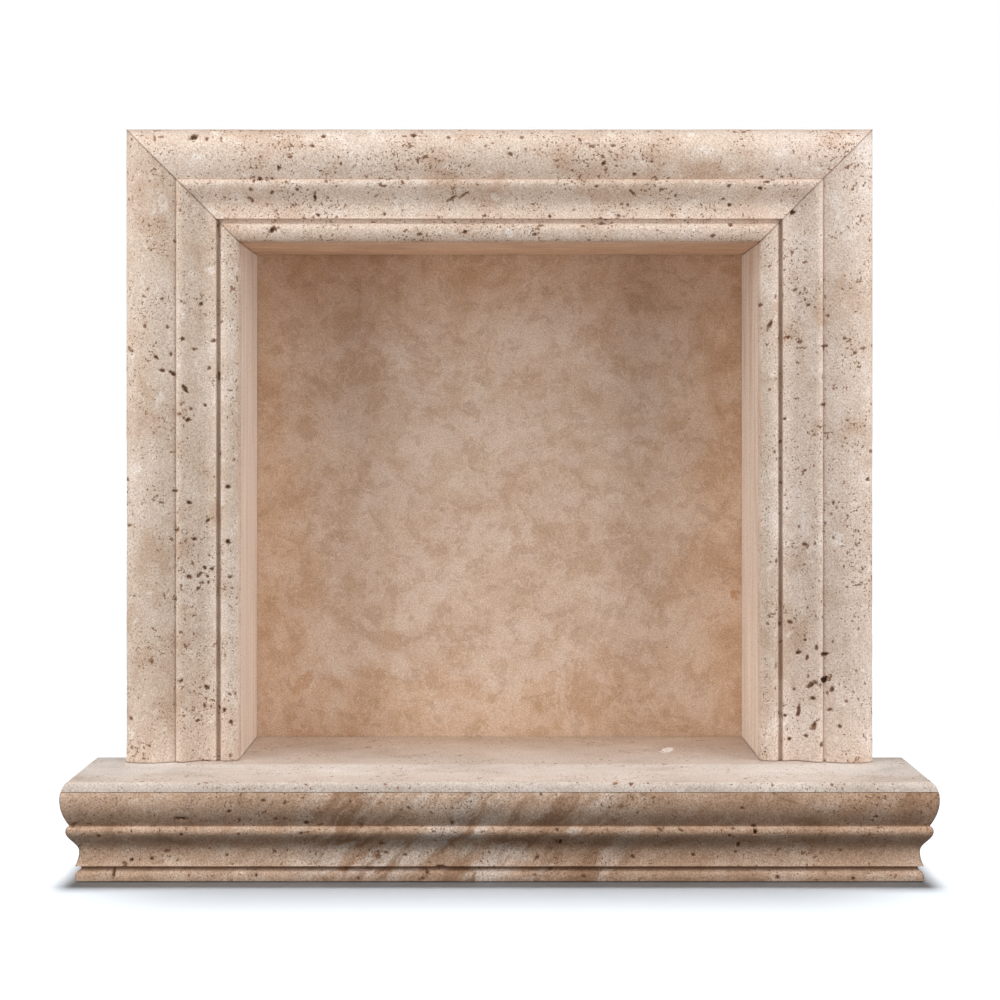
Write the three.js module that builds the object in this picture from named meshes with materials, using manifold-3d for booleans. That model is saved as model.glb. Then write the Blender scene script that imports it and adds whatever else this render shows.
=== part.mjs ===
// Travertine shower niche: a shelf, two side slabs, a ceiling slab and a back panel make an open box
// that is set into a wall. A moulded frame stands on the shelf in front of the wall, and the shelf
// runs out past it as a sill with a rounded nose and a moulded apron below.
// Millimetres. X runs along the wall, +Y into the wall, +Z up. The wall's face is Y = 0, and the
// origin is on the back of the frame's header, halfway up the band that bears on the wall.

import * as THREE from "three";
import * as BufferGeometryUtils from "three/addons/utils/BufferGeometryUtils.js";
import Module from "manifold-3d";

// The clear space inside
const openingWidth = 304.8;
const openingHeight = 303.2;
const nicheDepth = 76;

// The slabs that the box is made of
const slabThickness = 12.7;
const backThickness = 12.7;

// Adhesive bed between two pieces
const jointGap = 0.3;

// The moulding, run by run across its face from the outer edge to the opening.
// Widths go across the face, heights are the stone's thickness where each run ends.
const bandEdgeHeight = 14.3;
const bandRiseWidth = 14.2;
const crownHeight = 20.9;
const bandFallWidth = 15;
const stepHeight = 16.4;
const beadRiseWidth = 2.8;
const beadHeight = 18.2;
const ogeeWidth = 12;
const coveHeight = 12;
const coveRiseWidth = 8;
const arrisHeight = 13.7;
const grooveWallWidth = 0.5;
const grooveHeight = 11;
const grooveFloorWidth = 1.7;
const innerBeadRiseWidth = 4.3;
const innerBeadHeight = 13.8;
const lipFallWidth = 6.5;
const lipHeight = 9.3;

// The sill
const sillOverhang = 23.3;
const sillProjection = 83;
const sillEdgeThickness = 5.2;
const noseDrop = 9.4;
const noseRun = 4;
const apronTrim = 4.3;

// Flats that a curved run is cut into
const wideCurveFlatCount = 12;
const smallCurveFlatCount = 6;

// How far a cutting tool runs past the stone
const toolOverrun = 5;

// Stone colours and the roughness of a honed face
const ivory = 0xdcccba;
const cream = 0xd3bfaa;
const honey = 0xc3a78c;
const tan = 0xb99b80;
const honed = 0.62;

// What follows from the sizes above
const mouldingWidth = bandRiseWidth + bandFallWidth + beadRiseWidth + ogeeWidth + coveRiseWidth
  + grooveWallWidth + grooveFloorWidth + innerBeadRiseWidth + lipFallWidth;
const frameWidth = openingWidth + 2 * mouldingWidth;
const frameHeight = openingHeight + mouldingWidth;
const sillLength = frameWidth + 2 * sillOverhang;
const boxWidth = openingWidth + 2 * slabThickness;
const shelfTop = -(openingHeight + (slabThickness + mouldingWidth) / 2);
const mitreCut = jointGap / Math.SQRT2;

const left = new THREE.Vector3(-1, 0, 0);
const right = new THREE.Vector3(1, 0, 0);
const toRoom = new THREE.Vector3(0, -1, 0);
const intoWall = new THREE.Vector3(0, 1, 0);
const down = new THREE.Vector3(0, 0, -1);

// The ways in which a run of the moulding gets from its start to its end: each gives the share of
// the width and the share of the height that are reached at t.
const curves = {
  straight: (t) => [t, t],
  steepThenFlat: (t) => [1 - Math.cos(t * Math.PI / 2), Math.sin(t * Math.PI / 2)],
  flatThenSteep: (t) => [Math.sin(t * Math.PI / 2), 1 - Math.cos(t * Math.PI / 2)],
  bowed: (t) => [t, t * t],
  ogee: (t) => [t, (1 - Math.cos(t * Math.PI)) / 2],
};

const faceRuns = [
  { width: bandRiseWidth, height: crownHeight, curve: curves.steepThenFlat, flats: wideCurveFlatCount },
  { width: bandFallWidth, height: stepHeight, curve: curves.bowed, flats: wideCurveFlatCount },
  { width: beadRiseWidth, height: beadHeight, curve: curves.steepThenFlat, flats: smallCurveFlatCount },
  { width: ogeeWidth, height: coveHeight, curve: curves.ogee, flats: wideCurveFlatCount },
  { width: coveRiseWidth, height: arrisHeight, curve: curves.bowed, flats: smallCurveFlatCount },
  { width: grooveWallWidth, height: grooveHeight, curve: curves.straight, flats: 1 },
  { width: grooveFloorWidth, height: grooveHeight, curve: curves.straight, flats: 1 },
  {
    width: innerBeadRiseWidth, height: innerBeadHeight, curve: curves.steepThenFlat, flats: smallCurveFlatCount,
  },
  { width: lipFallWidth, height: lipHeight, curve: curves.flatThenSteep, flats: wideCurveFlatCount },
];

// The face of the moulding from its outer edge to the opening, as points [across, height]
function mouldingFace() {
  const points = [[0, bandEdgeHeight]];
  for (const run of faceRuns) {
    const [startAcross, startHeight] = points[points.length - 1];
    for (let flat = 1; flat <= run.flats; flat += 1) {
      const [widthShare, heightShare] = run.curve(flat / run.flats);
      const across = startAcross + widthShare * run.width;
      points.push([across, startHeight + heightShare * (run.height - startHeight)]);
    }
  }
  return points;
}

// The part of a face that is left between two saw cuts
function sawnFace(face, from, to) {
  const cutAt = (across) => {
    const next = Math.max(face.findIndex((point) => point[0] >= across), 1);
    const [before, after] = [face[next - 1], face[next]];
    const share = (across - before[0]) / (after[0] - before[0]);
    return [across, before[1] + share * (after[1] - before[1])];
  };
  const between = face.filter((point) => point[0] > from && point[0] < to);
  return [cutAt(from), ...between, cutAt(to)];
}

// The sill's rounded nose between two depths below the shelf's top, as points
// [depth, distance in from the outermost line]
function noseArc(fromDepth, toDepth) {
  const angleAt = (depth) => Math.acos(1 - Math.min(depth / noseDrop, 1));
  const start = angleAt(fromDepth);
  const turn = angleAt(toDepth) - start;
  const points = [];
  for (let flat = 0; flat <= wideCurveFlatCount; flat += 1) {
    const angle = start + turn * flat / wideCurveFlatCount;
    points.push([noseDrop * (1 - Math.cos(angle)), noseRun * (1 - Math.sin(angle))]);
  }
  return points;
}

// The frame's section. The outer band of its flat back bears on the wall, and the rest is relieved
// for the adhesive where it covers the front edge of the box.
function frameSection() {
  const bandWidth = mouldingWidth - slabThickness - jointGap;
  return [[0, 0], ...mouldingFace(), [mouldingWidth, jointGap], [bandWidth, jointGap], [bandWidth, 0]];
}

// The apron's section, from its top down: the same moulding with its outer edge sawn off at the
// crown and its lip trimmed, under the lower part of the sill's nose
function apronSection() {
  const topDepth = sillEdgeThickness + jointGap;
  const nose = noseArc(topDepth, noseDrop)
    .map(([depth, inset]) => [depth - topDepth, crownHeight - inset]);
  const [crownAcross] = nose[nose.length - 1];
  const below = sawnFace(mouldingFace(), bandRiseWidth, mouldingWidth - apronTrim)
    .slice(1)
    .map(([across, height]) => [across - bandRiseWidth + crownAcross, height]);
  const [bottom] = below[below.length - 1];
  return [[0, 0], ...nose, ...below, [bottom, 0]];
}

// A bar of one section with each end cut by a rule, which says how far along the bar a point of
// the section lies from how far across and how far out it is
function cutBar(section, startAt, endAt) {
  const shape = new THREE.Shape(section.map(([across, out]) => new THREE.Vector2(across, out)));
  const bar = new THREE.ExtrudeGeometry(shape, { depth: 1, bevelEnabled: false });
  const points = bar.attributes.position;
  for (let i = 0; i < points.count; i += 1) {
    const cut = points.getZ(i) === 0 ? startAt : endAt;
    points.setZ(i, cut(points.getX(i), points.getY(i)));
  }
  bar.computeVertexNormals();
  return bar;
}

// Puts a bar's corner line at a place and turns its section to lie across and out as given
function placeBar(mesh, corner, across, out) {
  const along = new THREE.Vector3().crossVectors(across, out);
  mesh.setRotationFromMatrix(new THREE.Matrix4().makeBasis(across, out, along));
  mesh.position.copy(corner);
  return mesh;
}

function stone(name, geometry, colour) {
  const material = new THREE.MeshStandardMaterial({ color: colour, roughness: honed, metalness: 0 });
  const mesh = new THREE.Mesh(geometry, material);
  mesh.name = name;
  return mesh;
}

// A flat slab between its lowest and its highest corner
function slab(name, low, high, colour) {
  const size = new THREE.Vector3().subVectors(high, low);
  const mesh = stone(name, new THREE.BoxGeometry(size.x, size.y, size.z), colour);
  mesh.position.lerpVectors(low, high, 1 / 2);
  return mesh;
}

const wasm = await Module();
wasm.setup();

// A placed mesh as a solid that can be cut
function solidOf(mesh) {
  mesh.updateMatrix();
  const bare = mesh.geometry.clone().applyMatrix4(mesh.matrix);
  bare.deleteAttribute("normal");
  bare.deleteAttribute("uv");
  const merged = BufferGeometryUtils.mergeVertices(bare);
  return new wasm.Manifold(new wasm.Mesh({
    numProp: 3,
    vertProperties: new Float32Array(merged.attributes.position.array),
    triVerts: new Uint32Array(merged.index.array),
  }));
}

function geometryOf(solid) {
  const { vertProperties, numProp, triVerts } = solid.getMesh();
  const shared = new THREE.BufferGeometry();
  shared.setAttribute("position", new THREE.BufferAttribute(vertProperties, numProp));
  shared.setIndex(new THREE.BufferAttribute(triVerts, 1));
  const geometry = shared.toNonIndexed();
  geometry.computeVertexNormals();
  return geometry;
}

// The shelf is the floor of the niche and the top of the sill in one slab, T-shaped from above.
// Its front and ends are rounded, and below the round it is rebated to take the apron.
function shelfSlab() {
  const halfSill = sillLength / 2;
  const halfBox = boxWidth / 2;
  const stemEnd = nicheDepth - jointGap;
  const outline = [
    [-halfSill, -sillProjection],
    [halfSill, -sillProjection],
    [halfSill, 0],
    [halfBox, 0],
    [halfBox, stemEnd],
    [-halfBox, stemEnd],
    [-halfBox, 0],
    [-halfSill, 0],
  ];
  const plan = new THREE.Shape(outline.map(([x, y]) => new THREE.Vector2(x, y)));
  const cutOut = new THREE.ExtrudeGeometry(plan, { depth: slabThickness, bevelEnabled: false });
  const plate = new THREE.Mesh(cutOut);
  plate.position.z = -slabThickness;

  // The planer follows one edge and takes away what lies outside the rounded nose
  const planed = [
    [-toolOverrun, noseRun],
    ...noseArc(0, noseDrop),
    [noseDrop, -toolOverrun],
    [-toolOverrun, -toolOverrun],
  ];
  const planer = (edge, inward) => {
    const bar = cutBar(planed, () => -sillLength, () => sillLength);
    return solidOf(placeBar(new THREE.Mesh(bar), edge, down, inward));
  };

  // The saw takes away what lies below the sill's thin edge, as far in as the apron's back
  const rebateInset = crownHeight + jointGap;
  const saw = (lowX, highX, highY) => {
    const low = new THREE.Vector3(lowX, -sillProjection - toolOverrun, -slabThickness - toolOverrun);
    const high = new THREE.Vector3(highX, highY, -sillEdgeThickness);
    return solidOf(slab("saw", low, high, ivory));
  };

  const shaped = solidOf(plate)
    .subtract(planer(new THREE.Vector3(0, -sillProjection, 0), intoWall))
    .subtract(planer(new THREE.Vector3(-halfSill, 0, 0), right))
    .subtract(planer(new THREE.Vector3(halfSill, 0, 0), left))
    .subtract(saw(-sillLength, sillLength, rebateInset - sillProjection))
    .subtract(saw(-sillLength, rebateInset - halfSill, toolOverrun))
    .subtract(saw(halfSill - rebateInset, sillLength, toolOverrun));
  return geometryOf(shaped);
}

// The sill is the shelf slab, and below its nose the apron, which turns back to the wall at both
// ends with a mitre at each corner. Behind the apron it is hollow.
function sill() {
  const section = apronSection();
  const frontBack = sillProjection - crownHeight;
  const returnBack = sillLength / 2 - crownHeight;
  const top = -sillEdgeThickness - jointGap;
  const toFrontMitre = (across, out) => returnBack + out - mitreCut;
  const toReturnMitre = (across, out) => frontBack + out - mitreCut;
  const front = cutBar(section, (...at) => -toFrontMitre(...at), toFrontMitre);
  const leftReturn = cutBar(section, (...at) => -toReturnMitre(...at), () => 0);
  const rightReturn = cutBar(section, () => 0, toReturnMitre);
  const cornerAt = (x, y) => new THREE.Vector3(x, y, top);
  const group = new THREE.Group();
  group.add(
    stone("shelf_slab", shelfSlab(), ivory),
    placeBar(stone("apron_front", front, tan), cornerAt(0, -frontBack), down, toRoom),
    placeBar(stone("apron_return_left", leftReturn, tan), cornerAt(-returnBack, 0), down, left),
    placeBar(stone("apron_return_right", rightReturn, tan), cornerAt(returnBack, 0), down, right),
  );
  return group;
}

// The frame stands on the shelf: two stiles with square feet, mitred at the top to the header
function frame() {
  const section = frameSection();
  const half = frameWidth / 2;
  const foot = frameHeight - jointGap;
  const toHeaderMitre = (across) => half - across - mitreCut;
  const header = cutBar(section, (across) => -toHeaderMitre(across), toHeaderMitre);
  const leftStile = cutBar(section, (across) => across + mitreCut, () => foot);
  const rightStile = cutBar(section, () => -foot, (across) => -across - mitreCut);
  const group = new THREE.Group();
  group.add(
    placeBar(stone("header_moulding", header, cream), new THREE.Vector3(0, 0, 0), down, toRoom),
    placeBar(stone("left_stile", leftStile, cream), new THREE.Vector3(-half, 0, 0), right, toRoom),
    placeBar(stone("right_stile", rightStile, cream), new THREE.Vector3(half, 0, 0), left, toRoom),
  );
  return group;
}

// The box behind the frame, its front edge flush with the wall's face: the side slabs stand on the
// shelf, the ceiling slab lies on them, and the back panel closes all four from behind
function box() {
  const [inner, outer] = [openingWidth / 2, boxWidth / 2];
  const back = nicheDepth - jointGap;
  const sideSlab = (name, lowX, highX) => slab(
    name,
    new THREE.Vector3(lowX, 0, jointGap),
    new THREE.Vector3(highX, back, openingHeight - jointGap),
    honey,
  );
  const group = new THREE.Group();
  group.add(
    sideSlab("left_side_slab", -outer, -inner),
    sideSlab("right_side_slab", inner, outer),
    slab(
      "ceiling_slab",
      new THREE.Vector3(-outer, 0, openingHeight),
      new THREE.Vector3(outer, back, openingHeight + slabThickness),
      honey,
    ),
    slab(
      "back_panel",
      new THREE.Vector3(-outer, nicheDepth, -slabThickness),
      new THREE.Vector3(outer, nicheDepth + backThickness, openingHeight + slabThickness),
      honey,
    ),
  );
  return group;
}

const sillGroup = sill();
sillGroup.position.z = shelfTop;

const boxGroup = box();
boxGroup.position.z = shelfTop;

const frameGroup = frame();
frameGroup.position.z = shelfTop + frameHeight;

const group = new THREE.Group();
group.add(sillGroup, boxGroup, frameGroup);

export default group;
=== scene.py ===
"""Looks of the travertine shower niche, in metres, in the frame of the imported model."""

from math import acos, ceil, cos, dist, hypot, pi, radians, sin

import bmesh
import bpy
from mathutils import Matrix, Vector


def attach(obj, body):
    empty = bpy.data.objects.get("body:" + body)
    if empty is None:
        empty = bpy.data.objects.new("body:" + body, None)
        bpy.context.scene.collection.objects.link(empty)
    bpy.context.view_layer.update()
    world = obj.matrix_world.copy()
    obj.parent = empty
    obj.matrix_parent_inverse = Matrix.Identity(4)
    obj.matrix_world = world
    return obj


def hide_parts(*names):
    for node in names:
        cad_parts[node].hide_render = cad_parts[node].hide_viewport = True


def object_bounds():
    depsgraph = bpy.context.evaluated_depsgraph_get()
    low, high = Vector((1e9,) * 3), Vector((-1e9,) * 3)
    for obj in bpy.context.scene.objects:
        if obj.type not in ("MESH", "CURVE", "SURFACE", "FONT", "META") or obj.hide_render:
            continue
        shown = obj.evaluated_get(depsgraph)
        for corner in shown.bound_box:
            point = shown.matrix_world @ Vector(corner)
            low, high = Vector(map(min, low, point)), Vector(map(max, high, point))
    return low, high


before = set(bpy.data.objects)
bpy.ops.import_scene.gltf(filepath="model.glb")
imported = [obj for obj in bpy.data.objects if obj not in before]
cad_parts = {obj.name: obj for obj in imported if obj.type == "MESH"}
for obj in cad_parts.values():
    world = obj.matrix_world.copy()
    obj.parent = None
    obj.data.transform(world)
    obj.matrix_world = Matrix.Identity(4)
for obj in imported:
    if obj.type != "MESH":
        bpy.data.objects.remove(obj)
cad_low, cad_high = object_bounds()
mm = 0.001


# The set: a pale floor that the apron's lower edge stands on, a white surround, a softbox close by
# on each side and one above, one high up beyond the camera, and a small light straight overhead.

picture_side = 1000
focal_length = 1905 / picture_side  # in picture widths
level_column, level_row = 499.5, 431  # where the camera's own level line meets the picture
eye = Vector((0, -1124.1, -149.65)) * mm

scene = bpy.context.scene
scene.view_settings.view_transform = "Standard"

camera = bpy.data.objects.new("camera", bpy.data.cameras.new("camera"))
camera.location = eye
camera.rotation_euler = (radians(90), 0, 0)
camera.data.sensor_width = 36
camera.data.lens = focal_length * camera.data.sensor_width
camera.data.shift_x = 1 / 2 - level_column / picture_side
camera.data.shift_y = level_row / picture_side - 1 / 2
camera.data.clip_start = 0.05
camera.data.clip_end = 200
scene.collection.objects.link(camera)
scene.camera = camera


def add_node(tree, kind, inputs=None, **settings):
    """A new node in a tree, with its settings made and its inputs set or linked"""
    node = tree.nodes.new(kind)
    for name, setting in settings.items():
        setattr(node, name, setting)
    for key, source in (inputs or {}).items():
        if isinstance(source, bpy.types.NodeSocket):
            tree.links.new(source, node.inputs[key])
        else:
            node.inputs[key].default_value = source
    return node


def number(tree, operation, *terms):
    """A number worked out from up to three others"""
    return add_node(tree, "ShaderNodeMath", dict(enumerate(terms)), operation=operation).outputs[0]


def eased(tree, source, low, high, start=0.0, end=1.0):
    """Start where the source is at low or under, end where it is at high or over, with a soft turn between"""
    inputs = {0: source, 1: low, 2: high, 3: start, 4: end}
    return add_node(tree, "ShaderNodeMapRange", inputs, interpolation_type="SMOOTHSTEP").outputs[0]


def white_surround():
    """White to the camera, and a weak even light"""
    world = bpy.data.worlds.new("white surround")
    world.use_nodes = True
    tree = world.node_tree
    tree.nodes.clear()
    is_seen = add_node(tree, "ShaderNodeLightPath").outputs["Is Camera Ray"]
    strength = add_node(tree, "ShaderNodeMapRange", {0: is_seen, 3: 0.04, 4: 1.0}).outputs[0]
    white = add_node(tree, "ShaderNodeBackground", {"Color": (1, 1, 1, 1), "Strength": strength})
    add_node(tree, "ShaderNodeOutputWorld", {"Surface": white.outputs[0]})
    return world


lights_on_stone = []


def soft_light(name, place, aim, width, height, power):
    """A rectangular softbox at a place, turned to face what it is aimed at"""
    data = bpy.data.lights.new(name, "AREA")
    data.shape = "RECTANGLE"
    data.size, data.size_y = width, height
    data.energy = power
    light = bpy.data.objects.new(name, data)
    light.location = place
    light.rotation_euler = (Vector(aim) - Vector(place)).to_track_quat("-Z", "Y").to_euler()
    scene.collection.objects.link(light)
    lights_on_stone.append(light)


scene.world = white_surround()
for side in (-1, 1):
    soft_light("softbox at the side", (0.7 * side, -0.35, -0.1), (0.1 * side, 0, -0.15), 0.5, 0.8, 5.0)
soft_light("softbox above", (0, -0.35, 0.75), (0, -0.1, -0.2), 1.2, 0.6, 6.5)
soft_light("softbox beyond the camera", (0, -1.5, 1.0), (0, 0, -0.2), 1.8, 1.0, 4.2)


def small_light(name, place, strength, spread):
    """A far light at this place, which shines towards the middle of the set"""
    light = bpy.data.objects.new(name, bpy.data.lights.new(name, "SUN"))
    light.location = place
    light.rotation_euler = Vector(place).to_track_quat("Z", "Y").to_euler()
    light.data.energy = strength
    light.data.angle = radians(spread)
    scene.collection.objects.link(light)
    return light


lights_on_stone.append(small_light("straight overhead", (0, 0, 2), 0.56, 9))


def floor_finish():
    """Matt white paint"""
    material = bpy.data.materials.new("white floor")
    material.use_nodes = True
    shader = material.node_tree.nodes["Principled BSDF"]
    shader.inputs["Base Color"].default_value = (0.86, 0.92, 0.98, 1)
    shader.inputs["Roughness"].default_value = 0.9
    shader.inputs["Specular IOR Level"].default_value = 0.0
    return material


floor_side, floor_height = 120, cad_low.z - 0.2 * mm
floor_mesh = bpy.data.meshes.new("floor")
floor_mesh.from_pydata(
    [
        (x * floor_side, y * floor_side, floor_height)
        for x, y in ((-0.5, -0.5), (0.5, -0.5), (0.5, 0.5), (-0.5, 0.5))
    ],
    [],
    [(0, 1, 2, 3)],
)
floor_mesh.materials.append(floor_finish())
floor = bpy.data.objects.new("floor", floor_mesh)
floor.visible_diffuse = False
floor.visible_glossy = False
lit_apart = bpy.data.collections.new("lit apart")
lit_apart.objects.link(floor)
scene.collection.children.link(lit_apart)

for floor_light in (
    small_light("over the floor alone", (0, 0.42, 2), 3.9, 20),
    small_light("in front of the floor alone", (0, -2, 1), 0.5, 40),
):
    floor_light.light_linking.receiver_collection = lit_apart
all_but_floor = bpy.data.collections.new("all but the floor")
all_but_floor.objects.link(floor)
all_but_floor.collection_objects[0].light_linking.link_state = "EXCLUDE"
for light in lights_on_stone:
    light.light_linking.receiver_collection = all_but_floor


# The shelf slab: floor of the niche and top of the sill in one piece of ivory travertine, 12.7 mm
# thick. The sill's front and ends are planed to a round nose and rebated below for the apron.

opening_width, opening_height, niche_depth = 304.8 * mm, 303.2 * mm, 76 * mm
slab_thickness = 12.7 * mm
joint_gap = 0.3 * mm
moulding_width = 65 * mm
sill_overhang, sill_projection = 23.3 * mm, 83 * mm
sill_edge_thickness = 5.2 * mm
nose_depth, nose_run = 9.4 * mm, 4 * mm
crown_height = 20.9 * mm

half_frame = opening_width / 2 + moulding_width
half_sill = half_frame + sill_overhang
half_box = opening_width / 2 + slab_thickness
shelf_top = -(opening_height + (slab_thickness + moulding_width) / 2)
frame_top = shelf_top + opening_height + moulding_width


def parts_of(tree, source):
    """The three parts of a vector"""
    return add_node(tree, "ShaderNodeSeparateXYZ", {0: source}).outputs


def vector(tree, operation, *terms):
    """A vector worked out from others, or a number for a length or a dot product"""
    node = add_node(tree, "ShaderNodeVectorMath", dict(enumerate(terms)), operation=operation)
    return node.outputs[1 if operation in ("LENGTH", "DOT_PRODUCT") else 0]


def scaled(tree, source, factor):
    """A vector or colour times a number"""
    return add_node(tree, "ShaderNodeVectorMath", {0: source, 3: factor}, operation="SCALE").outputs[0]


def cloud(tree, place, size, detail=3.0, roughness=0.55, output="Fac", curl=0.0):
    """Soft random clouds of about this size, which can curl"""
    shape = {"Detail": detail, "Roughness": roughness, "Distortion": curl}
    return add_node(tree, "ShaderNodeTexNoise", {"Vector": place, "Scale": 1 / size, **shape}).outputs[output]


def stirred(tree, place, size, reach):
    """The place moved a little at random, so that what is drawn there gets a ragged outline"""
    push = vector(tree, "SUBTRACT", cloud(tree, place, size, 2.0, output="Color"), (0.5, 0.5, 0.5))
    return vector(tree, "ADD", place, scaled(tree, push, 2 * reach))


def depth_into_pit(tree, place, spacing, widest, share):
    """How far inside a pit the place is. Pits of random width sit in this share of the cells of a loose
    grid."""
    cells = add_node(tree, "ShaderNodeTexVoronoi", {"Vector": place, "Scale": 1 / spacing})
    draw = add_node(tree, "FunctionNodeSeparateColor", {0: cells.outputs["Color"]}).outputs[0]
    radius = number(tree, "MULTIPLY_ADD", draw, widest / share, widest - widest / share)
    return number(tree, "MULTIPLY_ADD", cells.outputs["Distance"], -spacing, radius)


def new_tree(name, inputs):
    """An empty geometry tree with these inputs, ready to be filled: the tree, its inputs and its output"""
    tree = bpy.data.node_groups.new(name, "GeometryNodeTree")
    for label, kind in {"Geometry": "Geometry", **inputs}.items():
        tree.interface.new_socket(label, in_out="INPUT", socket_type="NodeSocket" + kind)
    tree.interface.new_socket("Geometry", in_out="OUTPUT", socket_type="NodeSocketGeometry")
    return tree, tree.nodes.new("NodeGroupInput").outputs, tree.nodes.new("NodeGroupOutput").inputs[0]


def marked(tree, geometry, label, value, data_type="FLOAT"):
    """The geometry, with this value kept at each of its points under the label"""
    inputs = {"Geometry": geometry, "Name": label, "Value": value}
    return add_node(tree, "GeometryNodeStoreNamedAttribute", inputs, data_type=data_type).outputs[0]


def mark_of(tree, label, data_type="FLOAT"):
    """The node that reads what the geometry keeps under the label"""
    return add_node(tree, "GeometryNodeInputNamedAttribute", {"Name": label}, data_type=data_type)


def made_of(tree, geometry, stone, result):
    """Ends a tree: the geometry, made plain and given its stone, is the result"""
    plain = add_node(tree, "GeometryNodeRealizeInstances", {"Geometry": geometry}).outputs[0]
    finished = add_node(tree, "GeometryNodeSetMaterial", {"Geometry": plain, "Material": stone})
    tree.links.new(finished.outputs[0], result)
    return tree


pitting_inputs = {
    "Voids": "Object",
    "Seen along": "Vector",
    "Upwards": "Vector",
    "Seed": "Vector",
    "Fewer pits": "Float",
    "Deepest pit": "Float",
    "Stone": "Material",
}


def pitting_tree():
    """Opens pits in a finished stone face: the big voids that are listed, and small ones at
    random. Keeps the place in the block as "rest", the same stirred as "drift", how thickly specks swarm
    there as "swarm", and how far inside a pit each point is, in millimetres, as "pit"."""
    tree, given, result = new_tree("open pits", pitting_inputs)
    position = add_node(tree, "GeometryNodeInputPosition").outputs[0]
    earlier = mark_of(tree, "rest", "FLOAT_VECTOR")
    in_block = add_node(
        tree,
        "GeometryNodeSwitch",
        {"Switch": earlier.outputs["Exists"], "False": position, "True": earlier.outputs["Attribute"]},
        input_type="VECTOR",
    ).outputs[0]
    seeded_place = vector(tree, "ADD", in_block, given["Seed"])
    seeded = marked(tree, given["Geometry"], "rest", seeded_place, "FLOAT_VECTOR")
    rest = mark_of(tree, "rest", "FLOAT_VECTOR").outputs[0]

    # The listed voids: each point of the stone looks up the nearest one, in the view that they were given in
    voids = add_node(tree, "GeometryNodeObjectInfo", {0: given["Voids"]}).outputs["Geometry"]
    along_view = vector(tree, "DOT_PRODUCT", position, given["Seen along"])
    flat = vector(tree, "SUBTRACT", position, scaled(tree, given["Seen along"], along_view))
    nearest = add_node(
        tree, "GeometryNodeSampleNearest", {"Geometry": voids, "Sample Position": flat}, domain="POINT"
    ).outputs[0]

    def of_nearest(source):
        inputs = {"Geometry": voids, "Value": source, "Index": nearest}
        return add_node(tree, "GeometryNodeSampleIndex", inputs, data_type="FLOAT_VECTOR").outputs[0]

    shape_of_void = mark_of(tree, "shape", "FLOAT_VECTOR").outputs[0]
    half_length, half_width, slant = parts_of(tree, of_nearest(shape_of_void))
    from_centre = vector(tree, "SUBTRACT", flat, of_nearest(position))
    aside = vector(tree, "DOT_PRODUCT", from_centre, (1, 0, 0))
    above = vector(tree, "DOT_PRODUCT", from_centre, given["Upwards"])
    cosine, sine = number(tree, "COSINE", slant), number(tree, "SINE", slant)
    lengthwise = number(tree, "MULTIPLY_ADD", aside, cosine, number(tree, "MULTIPLY", above, sine))
    raised = number(tree, "MULTIPLY", above, cosine)
    crosswise = number(tree, "SUBTRACT", raised, number(tree, "MULTIPLY", aside, sine))
    share_of_length = number(tree, "DIVIDE", lengthwise, half_length)
    share_of_width = number(tree, "DIVIDE", crosswise, half_width)
    squared = number(tree, "MULTIPLY", share_of_width, share_of_width)
    squared = number(tree, "MULTIPLY_ADD", share_of_length, share_of_length, squared)
    share = number(tree, "SQRT", squared)
    ragged_edge = number(tree, "MULTIPLY_ADD", cloud(tree, rest, 1.7 * mm, 2.0), 2.6, -0.4)
    picked = number(tree, "MULTIPLY", half_width, number(tree, "SUBTRACT", ragged_edge, share))

    # The small ones come in swarms, and lie along the bed of the stone, the block's third direction
    moved = stirred(tree, rest, 4 * mm, 1.2 * mm)
    bedded = vector(tree, "MULTIPLY", moved, (1.0, 1.0, 0.65))
    swarm = cloud(tree, rest, 38 * mm, 2.0)
    held_back = number(tree, "ADD", given["Fewer pits"], eased(tree, swarm, 0.42, 0.62, 1.4, 0.0))
    held_back = number(tree, "MULTIPLY", held_back, mm)
    coarse = depth_into_pit(tree, bedded, spacing=12 * mm, widest=2.0 * mm, share=0.4)
    fine = depth_into_pit(tree, bedded, spacing=4.6 * mm, widest=1.25 * mm, share=0.55)
    strewn = number(tree, "SUBTRACT", number(tree, "MAXIMUM", coarse, fine), held_back)
    inside = number(tree, "MAXIMUM", picked, strewn)
    depth = eased(tree, inside, -0.15 * mm, 1.7 * mm, 0.0, given["Deepest pit"])

    # The face itself was rubbed down by hand, so it is nowhere quite flat but at the joints, where "dirt" is
    at_joint = mark_of(tree, "dirt").outputs[0]
    uneven = number(tree, "MULTIPLY", cloud(tree, rest, 22 * mm, 1.0), 0.35 * mm)
    uneven = number(tree, "MULTIPLY", uneven, number(tree, "SUBTRACT", 1.0, at_joint))
    inwards = number(tree, "MULTIPLY", number(tree, "ADD", depth, uneven), -1)
    drifting = marked(tree, seeded, "drift", stirred(tree, rest, 30 * mm, 6 * mm), "FLOAT_VECTOR")
    specked = marked(tree, drifting, "swarm", eased(tree, cloud(tree, rest, 24 * mm, 2.0), 0.38, 0.6))
    ready = marked(tree, specked, "pit", number(tree, "MULTIPLY", inside, 1 / mm))
    offset = scaled(tree, add_node(tree, "GeometryNodeInputNormal").outputs[0], inwards)
    opened = add_node(tree, "GeometryNodeSetPosition", {"Geometry": ready, "Offset": offset}).outputs[0]

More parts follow.
